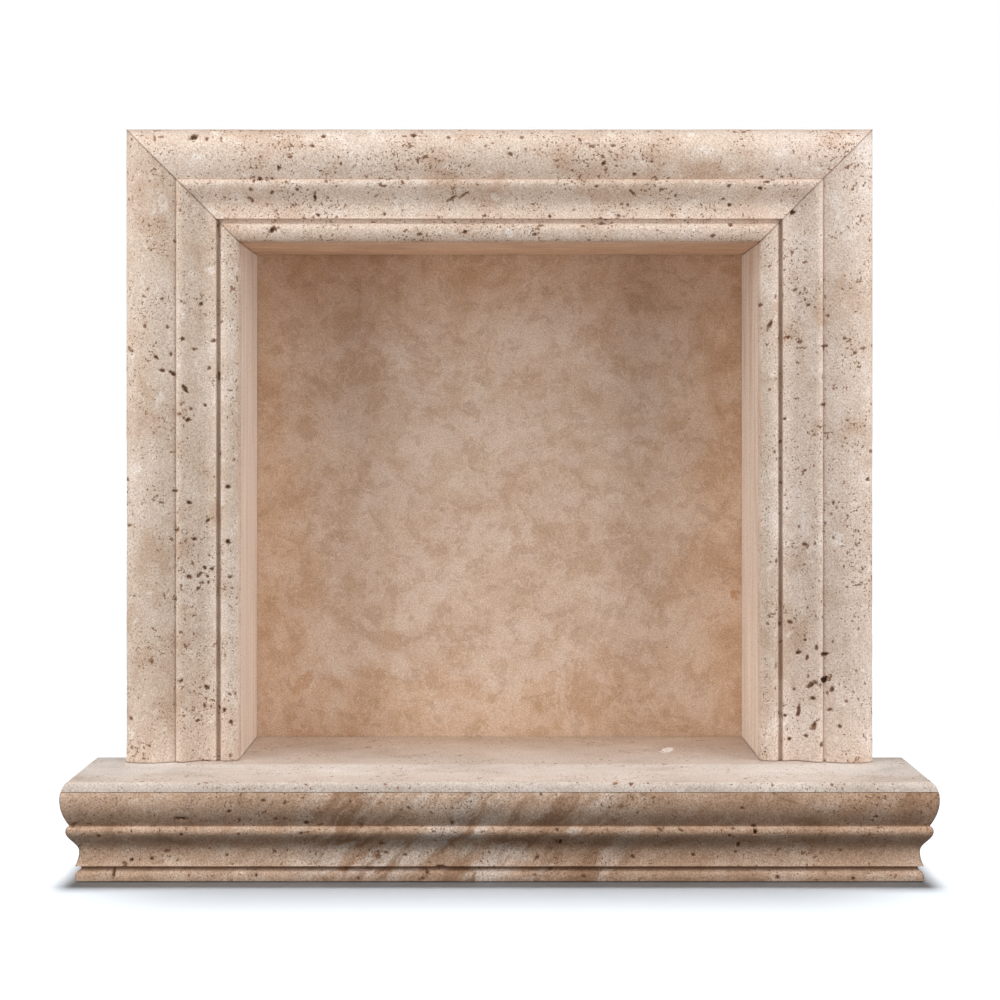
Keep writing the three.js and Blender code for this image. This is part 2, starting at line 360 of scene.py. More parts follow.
    # Rounded everywhere but at the arrises
    smooth = {"Geometry": opened, "Shade Smooth": True}
    turn = add_node(tree, "GeometryNodeInputMeshEdgeAngle").outputs["Unsigned Angle"]
    creased = {
        "Geometry": add_node(tree, "GeometryNodeSetShadeSmooth", smooth).outputs[0],
        "Selection": number(tree, "GREATER_THAN", turn, radians(50)),
        "Shade Smooth": False,
    }
    honed = add_node(tree, "GeometryNodeSetShadeSmooth", creased, domain="EDGE").outputs[0]
    return made_of(tree, honed, given["Stone"], result)


pitting = pitting_tree()


def shaped_by(tree, name, start, settings):
    """Runs a tree on a starting mesh, and keeps the plain mesh that comes out as a piece"""
    piece = bpy.data.objects.new(name, start)
    scene.collection.objects.link(piece)
    modifier = piece.modifiers.new(tree.name, "NODES")
    modifier.node_group = tree
    for label, setting in settings.items():
        modifier[tree.interface.items_tree[label].identifier] = setting
    evaluated = piece.evaluated_get(bpy.context.evaluated_depsgraph_get())
    plain = bpy.data.meshes.new_from_object(evaluated)
    if plain.materials[0] is None:  # a block drawn by a tree starts with an empty slot
        plain.materials.pop(index=0)
    piece.modifiers.remove(modifier)
    piece.data = plain
    bpy.data.meshes.remove(start)
    return piece


def voids_from(name, picked):
    """Voids, listed as (place, length, width, slant in degrees), for the pitting tree"""
    mesh = bpy.data.meshes.new(name)
    mesh.from_pydata([place for place, *_ in picked], [], [])
    shape = mesh.attributes.new("shape", "FLOAT_VECTOR", "POINT")
    for entry, (_, length, width, slant) in zip(shape.data, picked):
        entry.vector = (length / 2, width / 2, radians(slant))
    return bpy.data.objects.new(name, mesh)


def on_shelf(column, row, length, width, slant):
    """A void in the shelf's top, by where the picture shows it"""
    away = (eye.z - shelf_top) * focal_length * picture_side / (row - level_row)
    per_pixel = away / (focal_length * picture_side)
    place = (eye.x + (column - level_column) * per_pixel, eye.y + away, 0)
    return place, length * per_pixel, width * per_pixel, slant


def seen_face(depth):
    """Voids in a face that is turned to the camera at this depth, by where the picture shows them"""
    per_pixel = (depth - eye.y) / (focal_length * picture_side)

    def void(column, row, length, width, slant):
        x = eye.x + (column - level_column) * per_pixel
        z = eye.z - (row - level_row) * per_pixel
        return (x, 0, z), length * per_pixel, width * per_pixel, slant

    return void


def stone_colour(red, green, blue):
    """A colour as the eye reads it, 0 to 255, turned into the light that the stone gives back"""
    def linear(part):
        part /= 255
        return part / 12.92 if part <= 0.04045 else ((part + 0.055) / 1.055) ** 2.4

    return (linear(red), linear(green), linear(blue), 1)


def mixed(tree, share, under, over):
    """One colour laid over another, from none of it, 0, to all, 1"""
    return add_node(tree, "ShaderNodeMix", {0: share, 6: under, 7: over}, data_type="RGBA").outputs[2]


def place_on_part(tree):
    """Where a point is on the whole niche"""
    return add_node(tree, "ShaderNodeTexCoord").outputs["Object"]


def kept_drift(tree):
    """The place in the block, stirred, as the pitting tree has kept it"""
    return add_node(tree, "ShaderNodeAttribute", attribute_name="drift").outputs["Vector"]


def patch(tree, place, spot, tint, strength, colour):
    """A ragged oval spot of another tint on the colour. The spot is (centre, half sizes, turn in degrees)."""
    centre, half_sizes, turn = spot
    laid = {"Location": centre, "Rotation": [radians(angle) for angle in turn], "Scale": half_sizes}
    mapping = add_node(tree, "ShaderNodeMapping", {"Vector": place, **laid}, vector_type="TEXTURE")
    local = mapping.outputs[0]
    share = eased(tree, vector(tree, "LENGTH", local), 0.6, 1.05, strength, 0.0)
    return mixed(tree, share, colour, tint)


def travertine(
    name, dark, middle, light, white, rust, bed, cloudiness, specks, grit=1.0, clots=0.4, curl=0.0, veins=None
):
    """Honed travertine: clouds of three tones, white lime clots, rusty stains, fine grain, open specks and
    pits, old dirt in seams, and dirt with painted shade under steps and in grooves. bed stretches the
    clouds along the block's three directions."""
    material = bpy.data.materials.new(name)
    material.use_nodes = True
    tree = material.node_tree
    shader = tree.nodes["Principled BSDF"]
    shader.inputs["Specular IOR Level"].default_value = 0.35

    def kept(label, output="Fac"):
        return add_node(tree, "ShaderNodeAttribute", attribute_name=label).outputs[output]

    rest = kept("rest", "Vector")
    bedded = vector(tree, "MULTIPLY", kept_drift(tree), bed)
    broad = cloud(tree, bedded, 46 * mm, 2.0)
    mottled = cloud(tree, vector(tree, "ADD", bedded, (0.31, 0.17, 0.52)), 13 * mm, 5.0, 0.62, curl=curl)
    tone = number(tree, "MULTIPLY_ADD", number(tree, "SUBTRACT", broad, 0.5), cloudiness, 0.5)
    tone = number(tree, "MULTIPLY_ADD", number(tree, "SUBTRACT", mottled, 0.5), cloudiness * 0.9, tone)
    colour = mixed(tree, eased(tree, tone, 0.18, 0.5), dark, middle)
    colour = mixed(tree, eased(tree, tone, 0.5, 0.86), colour, light)
    if veins:
        colour = veins(tree, rest, colour)

    stain = cloud(tree, vector(tree, "ADD", bedded, (0.73, 0.41, 0.23)), 17 * mm, 3.0, 0.62)
    colour = mixed(tree, eased(tree, stain, 0.55, 0.8, 0.0, 0.45), colour, rust)
    clot = cloud(tree, vector(tree, "ADD", bedded, (0.11, 0.67, 0.37)), 7 * mm, 1.0, 0.4)
    colour = mixed(tree, eased(tree, clot, 0.66, 0.75, 0.0, clots), colour, white)
    grain = cloud(tree, rest, 0.9 * mm, 3.0, 0.7)
    brown_grain = (1 - 0.21 * grit, 1 - 0.235 * grit, 1 - 0.26 * grit, 1)
    pale_grain = (1 + 0.195 * grit, 1 + 0.215 * grit, 1 + 0.235 * grit, 1)
    grain_tint = mixed(tree, eased(tree, grain, 0.3, 0.7), brown_grain, pale_grain)
    colour = vector(tree, "MULTIPLY", colour, grain_tint)

    # Specks too small to be modelled, in swarms, and the pits that are modelled
    fewer = number(tree, "MULTIPLY_ADD", kept("swarm"), -0.08, 0.79 - 0.1 * specks)
    fine = cloud(tree, rest, 1.25 * mm, 1.0)
    coarse = cloud(tree, vector(tree, "ADD", rest, (0.29, 0.83, 0.57)), 3.2 * mm, 2.0)
    thickest = number(tree, "MAXIMUM", fine, coarse)
    speck = number(tree, "MULTIPLY", number(tree, "SUBTRACT", thickest, fewer), 6.0)
    ragged = number(tree, "SUBTRACT", grain, 0.5)
    into_pit = number(tree, "MAXIMUM", number(tree, "MULTIPLY_ADD", ragged, 2.2, kept("pit")), speck)
    hollow = eased(tree, into_pit, -0.05, 0.2)
    earth = mixed(tree, eased(tree, into_pit, 0.1, 1.1), stone_colour(148, 110, 82), stone_colour(96, 66, 46))
    colour = mixed(tree, eased(tree, into_pit, -0.6, 0.0, 0.0, 0.15), colour, rust)
    colour = mixed(tree, number(tree, "MULTIPLY", hollow, 0.9), colour, earth)
    # Dirt at the joints, and dirt with painted shade under steps and in grooves
    dirt = eased(tree, number(tree, "MULTIPLY_ADD", ragged, 0.9, kept("dirt")), 0.15, 0.9, 0.0, 0.75)
    colour = mixed(tree, dirt, colour, stone_colour(140, 94, 62))
    tree.links.new(colour, shader.inputs["Base Color"])

    rough = eased(tree, mottled, 0.3, 0.7, 0.55, 0.68)
    tree.links.new(number(tree, "MULTIPLY_ADD", hollow, 0.25, rough), shader.inputs["Roughness"])
    relief = number(tree, "MULTIPLY_ADD", hollow, -1.0, number(tree, "MULTIPLY", grain, 0.6))
    bump = add_node(tree, "ShaderNodeBump", {"Strength": 0.6, "Distance": 0.35 * mm, "Height": relief})
    tree.links.new(bump.outputs[0], shader.inputs["Normal"])
    return material


def nose_drop(inset):
    """How far below the shelf's top the rounded nose is, this far in from its outermost line"""
    return nose_depth * (1 - (1 - max(1 - inset / nose_run, 0) ** 2) ** 0.5)


def shelf_mesh(spacing):
    """A sheet over the whole T, bent down at the nose, then carried round below: in along the thin
    edge, up the rebate's side and across the flat underside"""
    last_angle = acos(1 - sill_edge_thickness / nose_depth)
    nose_insets = [nose_run * (1 - sin(last_angle * step / 9)) for step in range(9, 0, -1)]

    def lines(low, high):
        count = ceil((high - low) / spacing)
        return [low + (high - low) * step / count for step in range(count + 1)]

    wing = [-half_sill + inset for inset in nose_insets] + lines(nose_run - half_sill, -half_box)
    across = wing[:-1] + lines(-half_box, half_box) + [-x for x in reversed(wing[:-1])]
    back = niche_depth - joint_gap
    into = [-sill_projection + inset for inset in nose_insets] + lines(nose_run - sill_projection, 0)
    into += lines(0, back)[1:]

    sheet = bmesh.new()
    rows = []
    for y in into:
        row = {}
        for x in across:
            if y <= 0 or abs(x) <= half_box + 1e-9:
                inset = min(half_sill - abs(x), y + sill_projection)
                row[x] = sheet.verts.new((x, y, -nose_drop(inset)))
        rows.append(row)
    for near, far in zip(rows, rows[1:]):
        for x0, x1 in zip(across, across[1:]):
            corners = [near.get(x0), near.get(x1), far.get(x1), far.get(x0)]
            if all(corners):
                sheet.faces.new(corners)

    rebate = crown_height + joint_gap
    inner_x, inner_y = half_sill - rebate, rebate - sill_projection

    def carry_round(move):
        rim = [edge for edge in sheet.edges if edge.is_boundary]
        grown = bmesh.ops.extrude_edge_only(sheet, edges=rim)["geom"]
        for vert in (part for part in grown if isinstance(part, bmesh.types.BMVert)):
            vert.co = move(vert.co)

    carry_round(lambda at: Vector((
        min(max(at.x, -inner_x), inner_x), max(at.y, inner_y), -sill_edge_thickness
    )))
    carry_round(lambda at: Vector((at.x, at.y, -slab_thickness)))
    bmesh.ops.remove_doubles(sheet, verts=sheet.verts, dist=0.01 * mm)
    rim = [edge for edge in sheet.edges if edge.is_boundary]
    bmesh.ops.edgeloop_fill(sheet, edges=rim)
    bmesh.ops.recalc_face_normals(sheet, faces=sheet.faces)
    if sheet.calc_volume(signed=True) < 0:
        bmesh.ops.reverse_faces(sheet, faces=sheet.faces)
    bmesh.ops.translate(sheet, verts=sheet.verts, vec=(0, 0, shelf_top))
    mesh = bpy.data.meshes.new("shelf slab")
    sheet.to_mesh(mesh)
    sheet.free()
    return mesh


def painted_light_on_shelf_and_lump(tree, rest, colour):
    """Inside the niche, as far out as the frame's face, painted shade darkens the shelf, yellower near the
    front and browner deeper in, and a white lump stands out. Outside, a painted highlight makes it palest
    by the frame, and painted shade darkens and warms it towards the nose."""
    place = place_on_part(tree)
    sideways, inwards, _ = parts_of(tree, place)
    # Outside the niche: a painted highlight by the frame, and painted shade towards the nose
    away_from_nose = eased(tree, inwards, -sill_projection, -crown_height - 10 * mm)
    painted_nose_shade, painted_frame_highlight = (0.99, 0.93, 0.88, 1), (1.11, 1.11, 1.115, 1)
    colour = vector(tree, "MULTIPLY", colour, mixed(tree, away_from_nose, painted_nose_shade, painted_frame_highlight))

    # Inside the niche: painted shade, the header's shadow, deepening towards the back
    behind_face = eased(tree, inwards, -crown_height - 5 * mm, -crown_height + 1 * mm)
    aside = number(tree, "ABSOLUTE", sideways)
    between_stiles = eased(tree, aside, half_box + 10 * mm, half_box + 30 * mm, 1.0, 0.0)
    lighter_inner_shade, deeper_inner_shade = (0.86, 0.8, 0.755, 1), (0.875, 0.745, 0.635, 1)
    tint = mixed(tree, eased(tree, inwards, -10 * mm, 70 * mm), lighter_inner_shade, deeper_inner_shade)
    inside = number(tree, "MULTIPLY", behind_face, between_stiles)
    colour = mixed(tree, inside, colour, vector(tree, "MULTIPLY", colour, tint))

    lump = ((101 * mm, 26 * mm, shelf_top), (4.6 * mm, 12 * mm, 1), (0, 0, -20))
    ragged = stirred(tree, place, 5 * mm, 4 * mm)
    return patch(tree, ragged, lump, stone_colour(246, 242, 238), 0.95, colour)


shelf_stone = travertine(
    "ivory travertine",
    dark=stone_colour(187, 177, 168),
    middle=stone_colour(203, 194, 187),
    light=stone_colour(214, 207, 201),
    white=stone_colour(234, 226, 218),
    rust=stone_colour(188, 162, 138),
    bed=(0.7, 1.0, 1.0),
    cloudiness=1.0,
    specks=0.5,
    grit=1.1,
    clots=0.2,
    veins=painted_light_on_shelf_and_lump,
)
seen_from_above = {"Seen along": (0, 0, 1), "Upwards": (0, 1, 0)}
shelf_voids = voids_from("shelf voids", [on_shelf(*void) for void in (
    (616, 782, 7, 4, 20),
    (631, 782, 5, 5, 0),
    (371, 779, 4, 3, 0),
    (380, 781, 4, 3, 0),
    (389, 778, 4, 3, 0),
    (142, 781, 6, 4, 0),
)])
shelf = shaped_by(pitting, "shelf-slab", shelf_mesh(1.1 * mm), {
    "Voids": shelf_voids,
    **seen_from_above,
    "Seed": (0.4, 0.1, 0.9),
    "Fewer pits": 0.45,
    "Deepest pit": 1.4 * mm,
    "Stone": shelf_stone,
})
bpy.data.objects.remove(shelf_voids)


def fitted(piece, node):
    """The piece, attached to the root body, stands for this node of the solid model, which is hidden"""
    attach(piece, "root")
    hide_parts(node)


fitted(shelf, "shelf_slab")


# The apron: three bars of darker travertine under the sill's nose, mitred at the two corners and
# bedded in the shelf's rebate. They carry the frame's moulding from its crown down.

apron_trim = 4.3 * mm
glue_line = 0.04 * mm  # the joints are filled, so each piece is seen to reach the next
band_edge_height, band_rise_width = 14.3 * mm, 14.2 * mm


def straight(t):
    return t, t


def steep_then_flat(t):
    return 1 - cos(t * pi / 2), sin(t * pi / 2)


def flat_then_steep(t):
    return sin(t * pi / 2), 1 - cos(t * pi / 2)


def bowed(t):
    return t, t * t


def ogee(t):
    return t, (1 - cos(t * pi)) / 2


def moulding_face(spacing):
    """The moulding's face from its outer edge to the opening, as points (across, height)"""
    runs = (
        ("band's rise", band_rise_width, crown_height, steep_then_flat),
        ("band's fall", 15 * mm, 16.4 * mm, bowed),
        ("bead", 2.8 * mm, 18.2 * mm, steep_then_flat),
        ("ogee", 12 * mm, 12 * mm, ogee),
        ("cove", 8 * mm, 13.7 * mm, bowed),
        ("groove's wall", 0.5 * mm, 11 * mm, straight),
        ("groove's floor", 1.7 * mm, 11 * mm, straight),
        ("inner bead", 4.3 * mm, 13.8 * mm, steep_then_flat),
        ("lip", 6.5 * mm, 9.3 * mm, flat_then_steep),
    )
    points = [(0, band_edge_height)]
    for _, width, height, curve in runs:
        start_across, start_height = points[-1]
        flats = ceil(1.1 * hypot(width, height - start_height) / spacing)
        for flat in range(1, flats + 1):
            share_of_width, share_of_height = curve(flat / flats)
            points.append((
                start_across + share_of_width * width,
                start_height + share_of_height * (height - start_height),
            ))
    return points


def plain_edge(start, end, spacing):
    """The points between two corners of a section, without its ends"""
    flats = max(round(dist(start, end) / spacing), 1)
    return [tuple(a + (b - a) * flat / flats for a, b in zip(start, end)) for flat in range(1, flats)]


def apron_section(spacing):
    """The nose's lower part, then the moulding from its crown to just short of its lip"""
    top_depth = sill_edge_thickness + glue_line
    first_angle = acos(1 - top_depth / nose_depth)
    flats = 6
    angles = [first_angle + (pi / 2 - first_angle) * flat / flats for flat in range(flats + 1)]
    nose = [
        (nose_depth * (1 - cos(angle)) - top_depth, crown_height - nose_run * (1 - sin(angle)))
        for angle in angles
    ]
    crown_across = nose[-1][0]
    below = [
        (across - band_rise_width + crown_across, height)
        for across, height in moulding_face(spacing)
        if band_rise_width < across <= moulding_width - apron_trim
    ]
    bottom = below[-1][0]
    back_edge = plain_edge((bottom, 0), (0, 0), 4 * mm)
    return [(0, 0), *nose, *below, (bottom, 0), *back_edge]


def section_mesh(section):
    """A closed line through the points of a section"""
    mesh = bpy.data.meshes.new("section")
    count = len(section)
    mesh.from_pydata(
        [(across, out, 0) for across, out in reversed(section)],
        [(i, (i + 1) % count) for i in range(count)],
        [],
    )
    return mesh


def pitted(tree, geometry, given):
    """The pitting tree, run inside another one that is given the same inputs"""
    inputs = {"Geometry": geometry, **{label: given[label] for label in pitting_inputs}}
    return add_node(tree, "GeometryNodeGroup", inputs, node_tree=pitting).outputs[0]


def bar_tree():
    """Draws a section out into a bar, cuts both ends by a rule, lays the bar in place and opens its pits.
    A cut is (along, more along per across, more along per out). Old dirt sits at the cuts; under the step
    and in the groove, which run this far across, dirt and painted shade sit together. All of it is kept as
    "dirt", from none, 0, to 1."""
    tree, given, result = new_tree("moulded bar", {
        "Rings": "Int",
        "Start cut": "Vector",
        "End cut": "Vector",
        "Corner": "Vector",
        "Across": "Vector",
        "Out": "Vector",
        "Step": "Float",
        "Groove": "Float",
        "Dirt and shade in groove": "Float",
        **pitting_inputs,
    })
    section = add_node(tree, "GeometryNodeMeshToCurve", {"Mesh": given["Geometry"]}).outputs[0]
    line = add_node(tree, "GeometryNodeCurvePrimitiveLine", {"Start": (0, 0, 0), "End": (0, 0, 1)}).outputs[0]
    path = add_node(tree, "GeometryNodeResampleCurve", {"Curve": line, "Count": given["Rings"]}).outputs[0]
    bar = add_node(
        tree, "GeometryNodeCurveToMesh", {"Curve": path, "Profile Curve": section, "Fill Caps": True}
    ).outputs[0]

    across, out, share = parts_of(tree, add_node(tree, "GeometryNodeInputPosition").outputs[0])
    rule = add_node(tree, "ShaderNodeCombineXYZ", {0: 1.0, 1: across, 2: out}).outputs[0]
    start = vector(tree, "DOT_PRODUCT", rule, given["Start cut"])
    end = vector(tree, "DOT_PRODUCT", rule, given["End cut"])
    along = number(tree, "MULTIPLY_ADD", share, number(tree, "SUBTRACT", end, start), start)
    in_block = add_node(tree, "ShaderNodeCombineXYZ", {0: across, 1: out, 2: along}).outputs[0]
    from_start, from_end = number(tree, "SUBTRACT", along, start), number(tree, "SUBTRACT", end, along)
    from_cut = number(tree, "MINIMUM", from_start, from_end)
    from_step = number(tree, "ABSOLUTE", number(tree, "SUBTRACT", across, given["Step"]))
    from_groove = number(tree, "ABSOLUTE", number(tree, "SUBTRACT", across, given["Groove"]))
    # Dirt at the cuts; dirt with painted shade under the step and in the groove
    at_cut = eased(tree, from_cut, 0.0, 1.1 * mm, 0.75, 0.0)
    under_step = eased(tree, from_step, 0.0, 0.9 * mm, 0.45, 0.0)
    in_groove = eased(tree, from_groove, 0.4 * mm, 1.4 * mm, given["Dirt and shade in groove"], 0.0)
    dirt = number(tree, "MAXIMUM", at_cut, number(tree, "MAXIMUM", under_step, in_groove))
    dirtied = marked(tree, bar, "dirt", dirt)
    drawn = marked(tree, dirtied, "rest", in_block, "FLOAT_VECTOR")

    # Laid in place
    in_bar = parts_of(tree, mark_of(tree, "rest", "FLOAT_VECTOR").outputs[0])
    lengthwise = vector(tree, "CROSS_PRODUCT", given["Across"], given["Out"])
    place = vector(tree, "ADD", given["Corner"], scaled(tree, given["Across"], in_bar[0]))
    place = vector(tree, "ADD", place, scaled(tree, given["Out"], in_bar[1]))
    place = vector(tree, "ADD", place, scaled(tree, lengthwise, in_bar[2]))
    laid = add_node(tree, "GeometryNodeSetPosition", {"Geometry": drawn, "Position": place}).outputs[0]
    return made_of(tree, pitted(tree, laid, given), given["Stone"], result)


moulded_bar = bar_tree()


bar_spacing = 0.8 * mm


def lay_bar(name, section, length, start_cut, end_cut, corner, across, out, **finish):
    """A moulded bar of one section, cut and laid in place"""
    return shaped_by(moulded_bar, name, section_mesh(section), {
        "Rings": ceil(length / bar_spacing),
        "Start cut": start_cut,
        "End cut": end_cut,
        "Corner": corner,
        "Across": across,
        "Out": out,
        **finish,
    })


def slanting_bands(tree, rest, colour):
    """Brown and chalky bands that run up to the right through the middle of the apron, a browner right half,
    and painted light on the moulding: painted highlights on the crown's top, the bead and the cove, and
    painted shade below the crown"""
    place = place_on_part(tree)
    sideways, _, height = parts_of(tree, place)
    umber, chalk = stone_colour(150, 112, 84), stone_colour(224, 209, 197)
    colour = mixed(tree, eased(tree, sideways, -60 * mm, 130 * mm, 0.0, 0.3), colour, umber)

    ragged = stirred(tree, place, 12 * mm, 5 * mm)
    slanting = {"Vector": ragged, "Rotation": (0, radians(-50), 0), "Scale": (5, 1.3, 1)}
    turned = add_node(tree, "ShaderNodeMapping", slanting, vector_type="TEXTURE").outputs[0]
    off_centre = number(tree, "ABSOLUTE", number(tree, "ADD", sideways, 22 * mm))
    strength = eased(tree, off_centre, 55 * mm, 105 * mm, 1.0, 0.2)
    brown = eased(tree, cloud(tree, turned, 11 * mm, 5.0, 0.62), 0.46, 0.6, 0.0, 0.75)
    colour = mixed(tree, number(tree, "MULTIPLY", brown, strength), colour, umber)
    elsewhere = vector(tree, "ADD", turned, (0.3, 0.5, 0.2))
    white = eased(tree, cloud(tree, elsewhere, 11 * mm, 5.0, 0.6), 0.47, 0.62, 0.0, 0.7)
    colour = mixed(tree, number(tree, "MULTIPLY", white, strength), colour, chalk)

    # Painted light across the moulding: highlights on the crown's top, the bead and the cove, shade below
    below_top = number(tree, "SUBTRACT", apron_top, height)
    on_crown = eased(tree, below_top, 5 * mm, 17 * mm, 1.27, 0.92)
    under_step = eased(tree, below_top, 18.6 * mm, 19.4 * mm, 0.0, 0.35)
    on_bead = number(tree, "MULTIPLY", under_step, eased(tree, below_top, 21.5 * mm, 25 * mm, 1.0, 0.0))
    in_cove = eased(tree, below_top, 26 * mm, 37 * mm, 0.0, 0.22)
    painted_light_on_profile = number(tree, "ADD", number(tree, "ADD", on_crown, on_bead), in_cove)
    return scaled(tree, colour, painted_light_on_profile)


apron_top = shelf_top - sill_edge_thickness - glue_line
apron_stone = travertine(
    "tan travertine",
    dark=stone_colour(160, 128, 102),
    middle=stone_colour(194, 162, 137),
    light=stone_colour(216, 191, 170),
    white=stone_colour(226, 214, 200),
    rust=stone_colour(152, 112, 78),
    bed=(1.0, 1.0, 0.7),
    cloudiness=1.4,
    specks=0.65,
    grit=1.4,
    clots=0.15,
    veins=slanting_bands,
)
apron_face = -78 * mm  # on average, as the camera sees it
apron_place = seen_face(apron_face)
apron_voids = voids_from("apron voids", [apron_place(*void) for void in (
    (75, 824, 10, 4, 30), (182, 818, 20, 4, 0), (230, 810, 5, 4, 0), (265, 799, 5, 4, 0),
    (307, 823, 7, 5, 0), (301, 833, 5, 4, 0), (99, 836, 5, 4, 0), (182, 834, 5, 4, 0),
    (124, 865, 6, 5, 0), (131, 861, 5, 4, 0), (151, 860, 5, 4, 0), (113, 874, 12, 4, 90),
    (256, 876, 6, 4, 0), (274, 853, 6, 4, 0), (277, 818, 5, 4, 0), (452, 823, 5, 5, 0),
    (361, 825, 5, 4, 0), (560, 843, 8, 6, 0), (537, 859, 8, 4, 40), (386, 854, 5, 4, 0),
    (405, 856, 5, 4, 0), (440, 867, 11, 3, 0), (422, 880, 5, 4, 0), (427, 873, 5, 4, 0),
    (358, 880, 5, 4, 0), (535, 876, 6, 4, 0), (584, 877, 6, 4, 0), (557, 829, 5, 4, 0),
    (633, 858, 5, 4, 0), (732, 828, 5, 4, 0), (729, 835, 5, 4, 0), (754, 831, 4, 8, 0),
    (660, 829, 9, 3, -30), (680, 829, 9, 3, -30), (738, 846, 6, 5, 0), (736, 853, 5, 4, 0),
    (694, 856, 5, 4, 0), (875, 816, 5, 4, 0), (741, 807, 5, 4, 0), (778, 878, 6, 4, 0),
    (854, 880, 6, 4, 0),
)])
seen_from_front = {"Seen along": (0, 1, 0), "Upwards": (0, 0, 1)}
apron_finish = {
    "Voids": apron_voids,
    **seen_from_front,
    "Fewer pits": 0.15,
    "Deepest pit": 1.7 * mm,
    "Stone": apron_stone,
}
front_back = sill_projection - crown_height
return_back = half_sill - crown_height
apron_marks = {"Step": 19.1 * mm, "Groove": 43.1 * mm, "Dirt and shade in groove": 0.75}
apron_profile = apron_section(bar_spacing)
apron_front = lay_bar(
    "apron-front", apron_profile, 2 * half_sill,
    start_cut=(glue_line - return_back, 0, -1), end_cut=(return_back - glue_line, 0, 1),
    corner=(0, -front_back, apron_top), across=(0, 0, -1), out=(0, -1, 0),
    **apron_marks, **apron_finish, Seed=(1.3, 0.2, 0.6),
)
apron_left = lay_bar(
    "apron-return-left", apron_profile, sill_projection,
    start_cut=(glue_line - front_back, 0, -1), end_cut=(0, 0, 0),
    corner=(-return_back, 0, apron_top), across=(0, 0, -1), out=(-1, 0, 0),
    **apron_marks, **apron_finish, Seed=(2.1, 0.5, 0.1),
)
apron_right = lay_bar(
    "apron-return-right", apron_profile, sill_projection,
    start_cut=(0, 0, 0), end_cut=(front_back - glue_line, 0, 1),
    corner=(return_back, 0, apron_top), across=(0, 0, -1), out=(1, 0, 0),
    **apron_marks, **apron_finish, Seed=(0.7, 0.9, 1.8),
)
bpy.data.objects.remove(apron_voids)
fitted(apron_front, "apron_front")
fitted(apron_left, "apron_return_left")
fitted(apron_right, "apron_return_right")


# The box behind the frame: two side slabs that stand on the shelf, a ceiling slab on top of them
# and a back panel that closes all four, sawn along the bed, filled and honed.


def slab_tree():
    """A flat slab between two corners, with the pits that the filler has left open"""
    tree, given, result = new_tree("sawn slab", {
        "Lowest corner": "Vector",
        "Highest corner": "Vector",
        "Spacing": "Float",
        **pitting_inputs,
    })
    size = vector(tree, "SUBTRACT", given["Highest corner"], given["Lowest corner"])
    sides = {"Size": size}
    for axis, side in zip("XYZ", parts_of(tree, size)):
        squares = number(tree, "CEIL", number(tree, "DIVIDE", side, given["Spacing"]))
        sides["Vertices " + axis] = number(tree, "ADD", squares, 1.0)
    block = add_node(tree, "GeometryNodeMeshCube", sides).outputs["Mesh"]
    centre = scaled(tree, vector(tree, "ADD", given["Highest corner"], given["Lowest corner"]), 0.5)
    placed = add_node(tree, "GeometryNodeTransform", {"Geometry": block, "Translation": centre}).outputs[0]
    return made_of(tree, pitted(tree, placed, given), given["Stone"], result)


sawn_slab = slab_tree()


def lay_slab(name, low, high, spacing, **finish):
    """A slab between two corners, whose heights are above the shelf's top"""
    low = Vector(low) + Vector((0, 0, shelf_top))
    high = Vector(high) + Vector((0, 0, shelf_top))
    return shaped_by(sawn_slab, name, bpy.data.meshes.new(name), {
        "Lowest corner": low,
        "Highest corner": high,
        "Spacing": spacing,
        **finish,
    })


def thin_strata(tree, rest, colour):
    """Straight fine strata along each slab, and painted warm shade on the ceiling"""
    ceiling_height = shelf_top + opening_height
    height = parts_of(tree, place_on_part(tree))[2]
    overhead = eased(tree, height, ceiling_height - 0.6 * mm, ceiling_height - 0.2 * mm)
    upright = vector(tree, "MULTIPLY", rest, (1.0, 1.0, 0.04))
    level = vector(tree, "MULTIPLY", rest, (0.04, 1.0, 1.0))
    strata = cloud(tree, mixed(tree, overhead, upright, level), 5 * mm, 3.0, 0.6)
    colour = scaled(tree, colour, eased(tree, strata, 0.35, 0.65, 0.9, 1.07))
    # Painted warm shade on the ceiling slab
    return mixed(tree, overhead, colour, vector(tree, "MULTIPLY", colour, (1.08, 0.92, 0.78)))


lining_stone = travertine(
    "honey travertine cut along the bed",
    dark=stone_colour(215, 193, 176),
    middle=stone_colour(232, 215, 201),
    light=stone_colour(243, 229, 217),
    white=stone_colour(242, 230, 219),
    rust=stone_colour(198, 168, 142),
    bed=(1.3, 1.3, 0.1),
    cloudiness=1.1,
    specks=-0.6,
    clots=0.1,
    veins=thin_strata,
)


rusty_spots = (
    (((-124 * mm, niche_depth, -308 * mm), (12 * mm, 1, 4 * mm), (0, -45, 0)), 0.45),
    (((149 * mm, niche_depth, -252 * mm), (2 * mm, 1, 4 * mm), (0, 0, 0)), 0.6),
    (((146 * mm, niche_depth, -48 * mm), (8 * mm, 1, 4 * mm), (0, 0, 0)), 0.35),
)


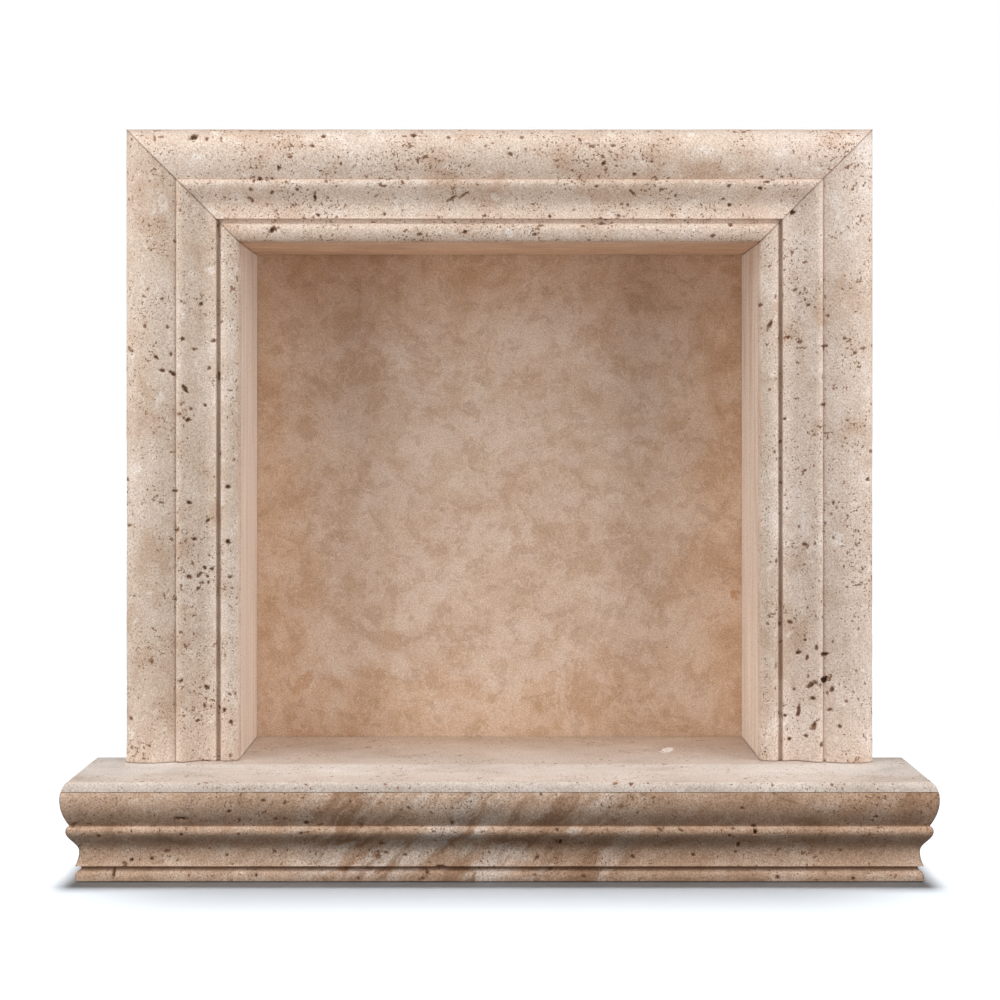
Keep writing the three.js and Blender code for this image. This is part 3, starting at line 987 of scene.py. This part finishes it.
def old_clouds(tree, rest, colour):
    """Ragged patches, paler and browner, pale veins between them, painted shade, darker and warmer, that
    grows towards the panel's edges, and the few rusty spots"""
    place = kept_drift(tree)
    pale = cloud(tree, vector(tree, "ADD", place, (0.21, 0.37, 0.83)), 17 * mm, 5.0, 0.66, curl=0.3)
    colour = mixed(tree, eased(tree, pale, 0.49, 0.56, 0.0, 0.45), colour, stone_colour(232, 211, 195))
    brown = cloud(tree, vector(tree, "ADD", place, (0.57, 0.13, 0.29)), 13 * mm, 5.0, 0.68, curl=0.3)
    colour = mixed(tree, eased(tree, brown, 0.52, 0.6, 0.0, 0.42), colour, stone_colour(196, 162, 132))
    vein = number(tree, "ABSOLUTE", number(tree, "SUBTRACT", cloud(tree, place, 26 * mm, 3.0, 0.6), 0.5))
    colour = mixed(tree, eased(tree, vein, 0.0, 0.014, 0.4, 0.0), colour, stone_colour(236, 218, 202))

    position = place_on_part(tree)
    from_middle = vector(tree, "SUBTRACT", position, (0, 0, shelf_top + opening_height / 2))
    shares = vector(tree, "MULTIPLY", from_middle, (2 / opening_width, 0, 2 / opening_height))
    sideways, _, upwards = parts_of(tree, vector(tree, "ABSOLUTE", shares))
    share_of_way = number(tree, "ADD", number(tree, "MAXIMUM", sideways, upwards), 0.25)
    # Painted shade, darker and warmer, towards the panel's edges
    near_edge = eased(tree, number(tree, "MULTIPLY_ADD", pale, -0.5, share_of_way), 0.58, 1.05)
    tint = mixed(tree, near_edge, (1.02, 1.01, 1.02, 1), (0.99, 0.91, 0.825, 1))
    colour = vector(tree, "MULTIPLY", colour, tint)
    near = stirred(tree, position, 6 * mm, 5 * mm)
    for spot, strength in rusty_spots:
        colour = patch(tree, near, spot, stone_colour(196, 138, 84), strength, colour)
    return colour


back_stone = travertine(
    "clouded tan travertine",
    dark=stone_colour(211, 180, 154),
    middle=stone_colour(222, 195, 171),
    light=stone_colour(231, 209, 189),
    white=stone_colour(238, 218, 198),
    rust=stone_colour(208, 170, 138),
    bed=(1.1, 1.1, 1.1),
    cloudiness=1.8,
    specks=-0.5,
    grit=0.95,
    clots=0.1,
    curl=0.4,
    veins=old_clouds,
)
back_voids = voids_from("back panel voids", [seen_face(niche_depth)(270, 595, 4, 4, 0)])
filled = {"Voids": back_voids, **seen_from_front, "Fewer pits": 2.0, "Deepest pit": 1.2 * mm}
inner, outer = opening_width / 2, half_box
lining_back = niche_depth - joint_gap
box_height = opening_height + slab_thickness
left_side = lay_slab(
    "left-side-slab", (-outer, 0, joint_gap), (-inner, lining_back, opening_height - joint_gap), 2 * mm,
    **filled, Seed=(0.2, 0.8, 0.4), Stone=lining_stone,
)
right_side = lay_slab(
    "right-side-slab", (inner, 0, joint_gap), (outer, lining_back, opening_height - joint_gap), 2 * mm,
    **filled, Seed=(1.2, 0.3, 0.9), Stone=lining_stone,
)
ceiling = lay_slab(
    "ceiling-slab", (-outer, 0, opening_height), (outer, lining_back, box_height), 2 * mm,
    **filled, Seed=(0.6, 1.4, 0.2), Stone=lining_stone,
)
back_panel = lay_slab(
    "back-panel",
    (-outer, niche_depth, -slab_thickness), (outer, niche_depth + slab_thickness, box_height), 2.2 * mm,
    **filled, Seed=(1.7, 0.6, 1.1), Stone=back_stone,
)
bpy.data.objects.remove(back_voids)
fitted(left_side, "left_side_slab")
fitted(right_side, "right_side_slab")
fitted(ceiling, "ceiling_slab")
fitted(back_panel, "back_panel")


# The frame: three moulded bars of cream travertine, honed but not filled. Two stiles stand on the
# shelf and are mitred at the top to the header, and all three are glued to the wall.


def frame_section(spacing):
    """The moulding's face, its inner edge, and a back that is flat but for a shallow relief over the box"""
    band_width = moulding_width - slab_thickness - joint_gap
    face = moulding_face(spacing)
    inner_edge = plain_edge(face[-1], (moulding_width, joint_gap), 1.5 * mm)
    back = plain_edge((band_width, 0), (0, 0), 6 * mm)
    outer_edge = plain_edge((0, 0), face[0], 1.5 * mm)
    relief = [(moulding_width, joint_gap), (band_width, joint_gap), (band_width, 0)]
    return [(0, 0), *outer_edge, *face, *inner_edge, *relief, *back]


def lime_lumps(tree, rest, colour):
    """The few white lumps that stand out in the frame, a paler right-hand side, and a darker top edge"""
    position = place_on_part(tree)
    near = stirred(tree, position, 5 * mm, 3 * mm)
    for spot, strength in white_lumps:
        colour = patch(tree, near, spot, stone_colour(246, 238, 230), strength, colour)
    sideways, _, height = parts_of(tree, position)
    to_the_right = eased(tree, sideways, opening_width / 2, opening_width / 2 + 14 * mm)
    tint = mixed(tree, to_the_right, (1.0, 1.0, 1.0, 1), (1.025, 1.04, 1.075, 1))
    colour = vector(tree, "MULTIPLY", colour, tint)
    # Darker towards the frame's top edge
    return scaled(tree, colour, eased(tree, height, frame_top - 7 * mm, frame_top, 1.0, 0.72))


frame_face = -15 * mm  # on average, as the camera sees it
frame_place = seen_face(frame_face)


def in_face(column, row, length, width, slant):
    """A spot on the frame's face, by where the picture shows it"""
    (x, _, z), long, wide, _ = frame_place(column, row, length, width, slant)
    return (x, frame_face, z), (long / 2, 1, wide / 2), (0, -slant, 0)


white_lumps = [(in_face(*spot), strength) for *spot, strength in (
    (509, 232, 14, 12, 0, 0.8), (704, 152, 20, 10, 0, 0.4), (836, 539, 16, 20, 0, 0.4),
    (316, 171, 10, 16, 0, 0.35), (164, 205, 10, 24, 0, 0.35),
)]
stile_stone = travertine(
    "cream travertine of the stiles",
    dark=stone_colour(200, 174, 152),
    middle=stone_colour(216, 196, 179),
    light=stone_colour(229, 214, 201),
    white=stone_colour(240, 230, 220),
    rust=stone_colour(184, 146, 114),
    bed=(1.0, 1.0, 0.8),
    cloudiness=1.2,
    specks=0.65,
    grit=1.2,
    clots=0.5,
    veins=lime_lumps,
)
# The header's tones are paler than the stiles': partly the piece's own colour, partly painted light from
# above
header_stone = travertine(
    "cream travertine of the header",
    dark=stone_colour(212, 184, 162),
    middle=stone_colour(228, 207, 190),
    light=stone_colour(240, 225, 212),
    white=stone_colour(246, 236, 226),
    rust=stone_colour(192, 152, 118),
    bed=(1.0, 1.0, 0.8),
    cloudiness=1.0,
    specks=0.8,
    grit=1.2,
    clots=0.5,
    veins=lime_lumps,
)
frame_voids = voids_from("frame voids", [frame_place(*void) for void in (
    # header
    (195, 138, 14, 7, 25), (208, 140, 5, 4, 0), (324, 137, 5, 4, 0), (313, 147, 5, 4, 0),
    (414, 137, 6, 5, 0), (280, 169, 6, 5, 20), (260, 179, 6, 4, 0), (267, 180, 5, 3, 0),
    (273, 179, 5, 3, 0), (252, 190, 5, 4, 0), (272, 193, 6, 4, 30), (315, 197, 12, 4, 85),
    (252, 200, 4, 4, 0), (298, 190, 5, 3, 0), (318, 214, 5, 4, 0), (384, 213, 5, 4, 0),
    (272, 230, 12, 7, 50), (465, 232, 5, 5, 0), (452, 198, 14, 3, 30), (464, 195, 14, 3, 30),
    (591, 148, 6, 4, 0), (603, 165, 6, 4, 20), (634, 175, 6, 4, 0), (596, 187, 5, 4, 0),
    (632, 193, 9, 3, -40), (550, 216, 5, 4, 0), (619, 215, 5, 4, 0), (602, 223, 10, 3, 0),
    (731, 224, 6, 4, 0), (712, 236, 6, 4, 0), (766, 182, 5, 4, 0), (759, 189, 5, 4, 0),
    (730, 204, 5, 4, 0), (794, 212, 7, 6, 0),
    # left stile
    (158, 358, 10, 4, -40), (174, 374, 10, 4, -40), (164, 371, 6, 4, -30), (169, 327, 5, 4, 0),
    (184, 339, 5, 5, 0), (194, 349, 6, 4, 0), (200, 304, 8, 3, 60), (213, 341, 7, 5, 0),
    (186, 389, 10, 5, -55), (208, 368, 5, 4, 0), (218, 376, 8, 3, 90), (189, 420, 5, 5, 0),
    (180, 414, 5, 3, 0), (191, 409, 4, 3, 0), (204, 405, 4, 4, 0), (176, 491, 6, 4, 0),
    (190, 503, 6, 5, 0), (228, 487, 6, 5, 0), (228, 542, 6, 6, 0), (230, 577, 5, 4, 0),
    (204, 568, 5, 4, 0), (211, 569, 4, 4, 0), (199, 575, 7, 4, 60), (207, 577, 4, 4, 0),
    (201, 583, 5, 4, 0), (208, 583, 4, 4, 0), (198, 589, 4, 4, 0), (190, 577, 5, 4, 0),
    (207, 521, 7, 4, 40), (178, 530, 6, 4, 30), (194, 539, 5, 4, 0), (206, 688, 6, 5, 0),
    (182, 680, 5, 4, 0), (198, 721, 5, 4, 0), (224, 710, 5, 5, 0), (231, 723, 5, 5, 0),
    (133, 351, 5, 4, 0), (130, 525, 5, 4, 0), (132, 718, 5, 4, 0),
    # right stile
    (770, 325, 11, 5, 55), (761, 304, 5, 4, 0), (776, 296, 7, 3, 90), (790, 337, 7, 5, 0),
    (800, 342, 6, 4, 0), (803, 348, 9, 3, 0), (823, 346, 10, 3, 0), (861, 349, 8, 3, 0),
    (796, 289, 5, 4, 0), (808, 305, 5, 4, 0), (853, 353, 5, 4, 0), (843, 339, 5, 4, 0),
    (827, 316, 5, 4, 0), (822, 405, 5, 4, 0), (785, 419, 5, 4, 0), (870, 451, 5, 4, 0),
    (867, 479, 5, 4, 0), (805, 545, 5, 4, 0), (777, 562, 8, 3, 90), (776, 665, 8, 3, 90),
    (791, 623, 6, 5, 0), (799, 653, 6, 4, 0), (824, 654, 10, 5, 10), (824, 679, 10, 8, 30),
    (812, 684, 14, 6, 25), (812, 698, 6, 5, 0), (829, 709, 6, 4, 0), (799, 711, 14, 4, 80),
    (785, 716, 6, 4, 0), (813, 725, 14, 5, 65), (821, 744, 5, 5, 0), (805, 640, 4, 4, 0),
    (795, 690, 4, 3, 0), (830, 690, 4, 4, 0), (806, 736, 5, 4, 0), (790, 740, 4, 4, 0),
    (838, 725, 4, 4, 0), (845, 700, 4, 3, 0),
)])
frame_finish = {
    "Step": 29.2 * mm,
    "Groove": 53.1 * mm,
    "Voids": frame_voids,
    **seen_from_front,
    "Fewer pits": 0.0,
    "Deepest pit": 1.8 * mm,
}
frame_profile = frame_section(bar_spacing)
frame_foot = frame_top - shelf_top - glue_line
header = lay_bar(
    "header-moulding", frame_profile, 2 * half_frame,
    start_cut=(glue_line - half_frame, 1, 0), end_cut=(half_frame - glue_line, -1, 0),
    corner=(0, 0, frame_top), across=(0, 0, -1), out=(0, -1, 0),
    **{"Dirt and shade in groove": 0.3}, **frame_finish, Seed=(0.5, 0.3, 0.7), Stone=header_stone,
)
left_stile = lay_bar(
    "left-stile", frame_profile, frame_foot,
    start_cut=(glue_line, 1, 0), end_cut=(frame_foot, 0, 0),
    corner=(-half_frame, 0, frame_top), across=(1, 0, 0), out=(0, -1, 0),
    **{"Dirt and shade in groove": 0.45}, **frame_finish, Seed=(1.1, 0.7, 0.2), Stone=stile_stone,
)
right_stile = lay_bar(
    "right-stile", frame_profile, frame_foot,
    start_cut=(-frame_foot, 0, 0), end_cut=(-glue_line, -1, 0),
    corner=(half_frame, 0, frame_top), across=(-1, 0, 0), out=(0, -1, 0),
    **{"Dirt and shade in groove": 0.45}, **frame_finish, Seed=(0.9, 1.5, 1.4), Stone=stile_stone,
)
bpy.data.objects.remove(frame_voids)
fitted(header, "header_moulding")
fitted(left_stile, "left_stile")
fitted(right_stile, "right_stile")
